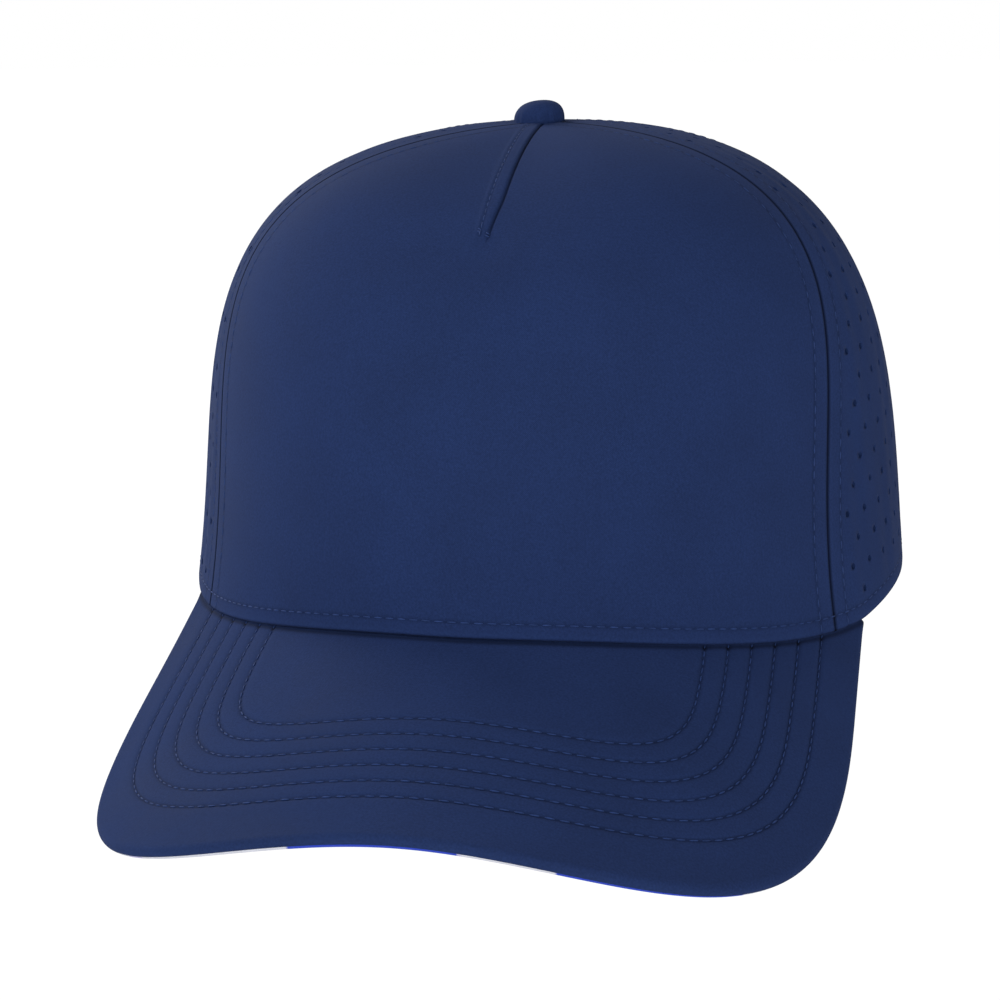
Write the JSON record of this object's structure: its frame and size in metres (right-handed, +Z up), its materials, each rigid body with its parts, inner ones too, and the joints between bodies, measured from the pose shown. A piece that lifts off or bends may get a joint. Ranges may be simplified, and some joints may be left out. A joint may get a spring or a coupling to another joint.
{
  "type": "bump cap",
  "caption": "Navy five-panel cloth cap with a stitched curved brim, adjustable back strap and a removable padded bump shell inside.",
  "frame": {"origin": "centre of the head opening, on the plane of the cover's lower edge at the back; the head holds the cap there", "axes": "+Z up to the button, -Y forward to the brim, +X to the wearer's left; the cap is worn upright"},
  "size_m": [0.184, 0.2659, 0.1503],
  "materials": {
    "navy_twill": "smooth matte performance polyester, navy",
    "tape_cloth": "woven seam tape, dark navy",
    "stiffener_cloth": "open-weave stiffened mesh, off white",
    "band_cloth": "brushed wicking band, navy",
    "brim_board": "moulded polyethylene board",
    "under_print": "smooth printed lining, blotches of pale and royal blue",
    "strap_cloth": "navy polyester strap",
    "hook_tape": "moulded hooks, black",
    "loop_tape": "looped pile, black",
    "shell_abs": "fine-grained moulded ABS, black",
    "pad_foam": "closed-cell foam, dark grey",
    "rivet_metal": "pressed steel"
  },
  "bodies": {
    "cover": {"front_panel": "navy_twill", "left_side_panel": "navy_twill", "right_side_panel": "navy_twill", "left_rear_panel": "navy_twill", "right_rear_panel": "navy_twill", "front_stiffener": "stiffener_cloth", "left_front_seam_tape": "tape_cloth", "right_front_seam_tape": "tape_cloth", "left_rear_seam_tape": "tape_cloth", "right_rear_seam_tape": "tape_cloth", "back_seam_tape": "tape_cloth", "arch_binding": "tape_cloth", "sweatband": "band_cloth", "brim_top_cloth": "navy_twill", "brim_board": "brim_board", "brim_under_cloth": "under_print", "button_cover": "navy_twill", "button_rivet": "rivet_metal", "fixed_tab": "strap_cloth", "loop_patch": "loop_tape", "left_strap_pocket": "band_cloth", "right_strap_pocket": "band_cloth", "loop_dots": "loop_tape"},
    "insert": {"bump_shell": "shell_abs", "front_pad": "pad_foam", "left_side_pad": "pad_foam", "right_side_pad": "pad_foam", "rear_pad": "pad_foam", "crown_pads": "pad_foam", "hook_dots": "hook_tape"},
    "strap_slide": {"strap_root": "strap_cloth"},
    "strap_flap": {"strap_flap": "strap_cloth", "hook_patch": "hook_tape"}
  },
  "joints": [
    {"name": "insert_removal", "type": "slide", "parent": "cover", "child": "insert", "axis": [0, 0, -1], "range_m": [0, 0.15]},
    {"name": "strap_size", "type": "hinge", "parent": "cover", "child": "strap_slide", "pos_m": [0, 0.02457, 0.0115], "axis": [0, 0, 1], "range_deg": [-6, 7]},
    {"name": "strap_peel", "type": "hinge", "parent": "strap_slide", "child": "strap_flap", "pos_m": [-0.0231, 0.09983, 0.0015], "axis": [0.0158, -0.0516, 0.9985], "range_deg": [0, 80]}
  ]
}
